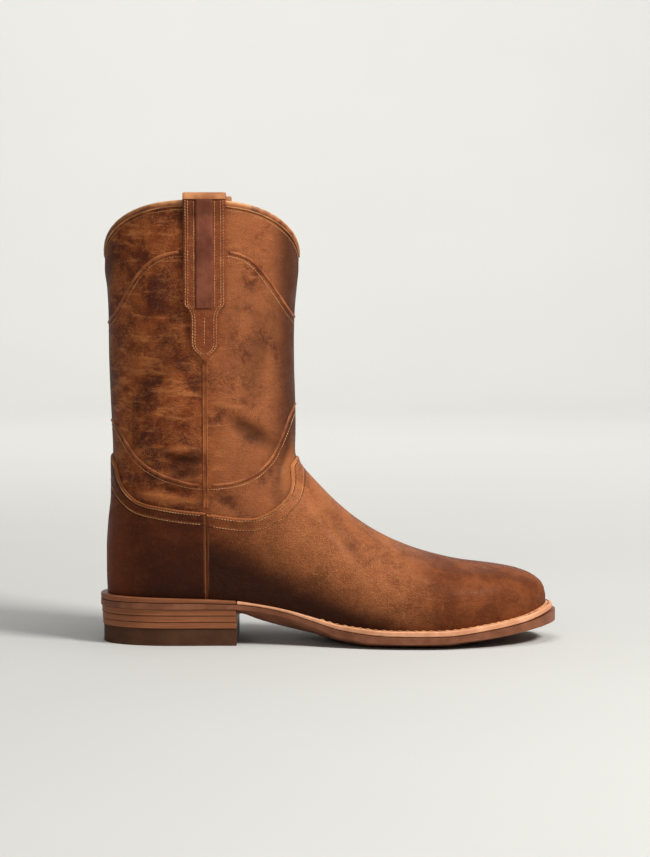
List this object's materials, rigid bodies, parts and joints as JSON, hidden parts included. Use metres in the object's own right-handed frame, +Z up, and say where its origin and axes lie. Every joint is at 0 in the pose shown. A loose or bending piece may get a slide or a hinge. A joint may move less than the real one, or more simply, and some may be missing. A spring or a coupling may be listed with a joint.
{
  "type": "roper boot",
  "caption": "Brown leather roper boot for the right foot: pull-on shaft with scalloped collar, side pull straps, round toe, welted sole and low stacked heel.",
  "frame": {"origin": "centre of the heel cap's flat underside, on the floor", "axes": "+X from heel to toe, +Y to the inner side of the foot, +Z up"},
  "size_m": [0.3046, 0.1062, 0.2962],
  "materials": {
    "upper_leather": "waxed, mottled pull-up",
    "trim_leather": "satin",
    "insole_leather": "matt",
    "sole_leather": "satin edge",
    "stack_leather": "polished stacked edge",
    "heel_rubber": "matt"
  },
  "bodies": {
    "root": {"upper": "upper_leather", "vamp": "upper_leather", "counter": "upper_leather", "collar_binding": "trim_leather", "piping_top_front": "trim_leather", "piping_top_back": "trim_leather", "piping_low_front": "trim_leather", "piping_low_back": "trim_leather", "side_seam_outer": "trim_leather", "side_seam_inner": "trim_leather", "pull_strap_outer": "upper_leather", "pull_strap_inner": "upper_leather", "insole": "insole_leather", "welt": "sole_leather", "heel_rand": "sole_leather", "outsole": "sole_leather", "heel_lift_1": "stack_leather", "heel_lift_2": "stack_leather", "heel_lift_3": "stack_leather", "heel_cap": "heel_rubber"}
  },
  "joints": []
}
